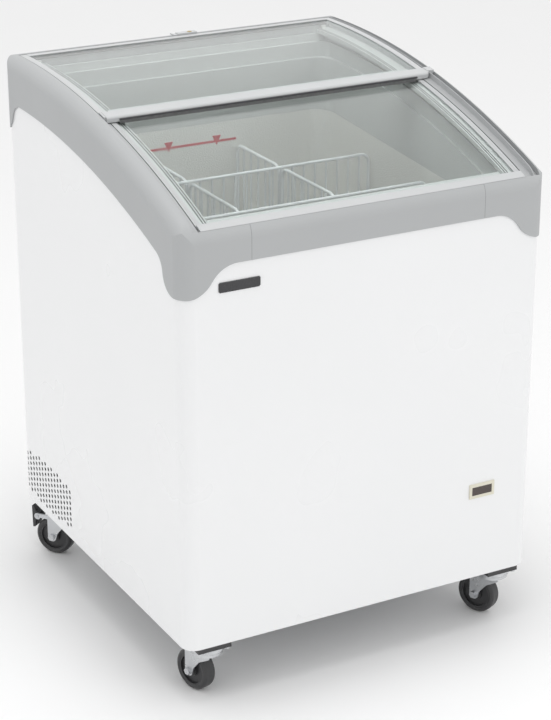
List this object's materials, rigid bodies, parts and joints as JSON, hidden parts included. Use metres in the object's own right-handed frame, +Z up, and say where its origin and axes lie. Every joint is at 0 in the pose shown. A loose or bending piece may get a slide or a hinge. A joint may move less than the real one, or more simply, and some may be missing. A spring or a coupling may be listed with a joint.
{
  "type": "display chest freezer",
  "caption": "Chest freezer with a curved top, two sliding curved glass lids, wire dividers, a lobed top frame and swivel casters.",
  "frame": {"origin": "on the floor, under the middle of the cabinet", "axes": "+Z up, +X to the right seen from the front, the front faces -Y"},
  "size_m": [0.69, 0.71, 0.9719],
  "materials": {
    "white_paint": "smooth gloss paint",
    "galvanised": "galvanised sheet",
    "zinc": "bright zinc plate",
    "grille_paint": "smooth paint",
    "caster_plate": "black plate with a bright race",
    "tank_sheet": "stucco-embossed sheet",
    "foam": "rigid foam",
    "frame_grey": "fine texture",
    "collar_grey": "smooth satin",
    "lid_bar": "satin",
    "lid_glass": "clear curved glass",
    "seal_black": "matte",
    "white_plastic": "smooth",
    "red_mark": "printed film",
    "cream_plastic": "smooth",
    "dark_window": "smoked",
    "black_plastic": "satin",
    "copper": "drawn copper tube",
    "machine_black": "black enamel",
    "lock_brass": "machined",
    "wire_white": "plastic-dipped wire",
    "wheel_black": "moulded"
  },
  "bodies": {
    "cabinet": {"cabinet_wrap": "white_paint", "rear_panel": "white_paint", "base_pan": "galvanised", "insulation_foam": "foam", "liner_tank": "tank_sheet", "evaporator_coil": "copper", "inner_collar": "collar_grey", "side_frame_left": "frame_grey", "side_frame_right": "frame_grey", "front_rail": "frame_grey", "rear_rail": "frame_grey", "lid_track_left": "collar_grey", "lid_track_right": "collar_grey", "lid_seals": "seal_black", "corner_clips": "white_plastic", "load_line": "red_mark", "display_bezel": "cream_plastic", "display_window": "dark_window", "badge_plate": "black_plastic", "compartment_wall": "galvanised", "compressor": "machine_black", "compressor_feet": "seal_black", "condenser": "machine_black", "fan_bracket": "galvanised", "fan_motor": "black_plastic", "refrigerant_lines": "copper", "inlet_box": "black_plastic", "cord_gland": "seal_black", "rear_grille": "grille_paint", "grille_screws": "zinc", "lock_housing": "zinc", "caster_plates": "caster_plate"},
    "rear_lid": {"rear_glass": "lid_glass", "rear_lid_mid_bar": "lid_bar", "rear_lid_back_bar": "lid_bar", "rear_lid_runners": "lid_bar", "rear_lid_end_caps": "lid_bar", "brush_seal": "seal_black"},
    "front_lid": {"front_glass": "lid_glass", "front_lid_nose_bar": "lid_bar", "front_lid_back_bar": "lid_bar", "front_lid_runners": "lid_bar"},
    "divider_set": {"long_divider_rear": "wire_white", "long_divider_front": "wire_white", "cross_dividers": "wire_white"},
    "fan": {"fan_blade": "white_plastic"},
    "knob": {"thermostat_knob": "black_plastic"},
    "drain_stopper": {"drain_plug": "black_plastic"},
    "lock": {"lock_barrel": "lock_brass"},
    "fork_front_left": {"caster_fork_front_left": "zinc"},
    "wheel_front_left": {"wheel_front_left": "wheel_black"},
    "fork_front_right": {"caster_fork_front_right": "zinc"},
    "wheel_front_right": {"wheel_front_right": "wheel_black"},
    "fork_rear_left": {"caster_fork_rear_left": "zinc"},
    "wheel_rear_left": {"wheel_rear_left": "wheel_black"},
    "fork_rear_right": {"caster_fork_rear_right": "zinc"},
    "wheel_rear_right": {"wheel_rear_right": "wheel_black"},
    "pedal_left": {"brake_pedal_left": "black_plastic"},
    "pedal_right": {"brake_pedal_right": "black_plastic"}
  },
  "joints": [
    {"name": "rear_lid_slide", "type": "hinge", "parent": "cabinet", "child": "rear_lid", "pos_m": [0, 0.299, -0.754], "axis": [1, 0, 0], "range_deg": [0, 10.2]},
    {"name": "front_lid_slide", "type": "hinge", "parent": "cabinet", "child": "front_lid", "pos_m": [0, 0.299, -0.754], "axis": [1, 0, 0], "range_deg": [-9.2, 0]},
    {"name": "divider_lift", "type": "slide", "parent": "cabinet", "child": "divider_set", "axis": [0, 0, 1], "range_m": [0, 0.12]},
    {"name": "fan_spin", "type": "hinge", "parent": "cabinet", "child": "fan", "pos_m": [-0.2508, 0.226, 0.191], "axis": [1, 0, 0], "continuous": true},
    {"name": "thermostat_turn", "type": "hinge", "parent": "cabinet", "child": "knob", "pos_m": [0.1908, 0.3505, 0.245], "axis": [0, 1, 0], "range_deg": [0, 270]},
    {"name": "drain_pull", "type": "slide", "parent": "cabinet", "child": "drain_stopper", "axis": [0, 0, 1], "range_m": [0, 0.03]},
    {"name": "lock_turn", "type": "hinge", "parent": "cabinet", "child": "lock", "pos_m": [0.024, 0.3475, 0.968], "axis": [0, 0, 1], "range_deg": [0, 90]},
    {"name": "swivel_front_left", "type": "hinge", "parent": "cabinet", "child": "fork_front_left", "pos_m": [-0.29, -0.32, 0.085], "axis": [0, 0, 1], "continuous": true},
    {"name": "roll_front_left", "type": "hinge", "parent": "fork_front_left", "child": "wheel_front_left", "pos_m": [-0.29772, -0.29308, 0.0375], "axis": [-0.9613, -0.2756, 0], "continuous": true},
    {"name": "swivel_front_right", "type": "hinge", "parent": "cabinet", "child": "fork_front_right", "pos_m": [0.29, -0.32, 0.085], "axis": [0, 0, 1], "continuous": true},
    {"name": "roll_front_right", "type": "hinge", "parent": "fork_front_right", "child": "wheel_front_right", "pos_m": [0.27861, -0.29442, 0.0375], "axis": [-0.9135, -0.4067, 0], "continuous": true},
    {"name": "swivel_rear_left", "type": "hinge", "parent": "cabinet", "child": "fork_rear_left", "pos_m": [-0.29, 0.267, 0.085], "axis": [0, 0, 1], "continuous": true},
    {"name": "roll_rear_left", "type": "hinge", "parent": "fork_rear_left", "child": "wheel_rear_left", "pos_m": [-0.30685, 0.28936, 0.0375], "axis": [-0.7986, -0.6018, 0], "continuous": true},
    {"name": "brake_left", "type": "hinge", "parent": "fork_rear_left", "child": "pedal_left", "pos_m": [-0.32551, 0.31412, 0.0755], "axis": [-0.7986, -0.6018, 0], "range_deg": [0, 6]},
    {"name": "swivel_rear_right", "type": "hinge", "parent": "cabinet", "child": "fork_rear_right", "pos_m": [0.29, 0.267, 0.085], "axis": [0, 0, 1], "continuous": true},
    {"name": "roll_rear_right", "type": "hinge", "parent": "fork_rear_right", "child": "wheel_rear_right", "pos_m": [0.28042, 0.29331, 0.0375], "axis": [-0.9397, -0.342, 0], "continuous": true},
    {"name": "brake_right", "type": "hinge", "parent": "fork_rear_right", "child": "pedal_right", "pos_m": [0.26982, 0.32244, 0.0755], "axis": [-0.9397, -0.342, 0], "range_deg": [0, 6]}
  ]
}
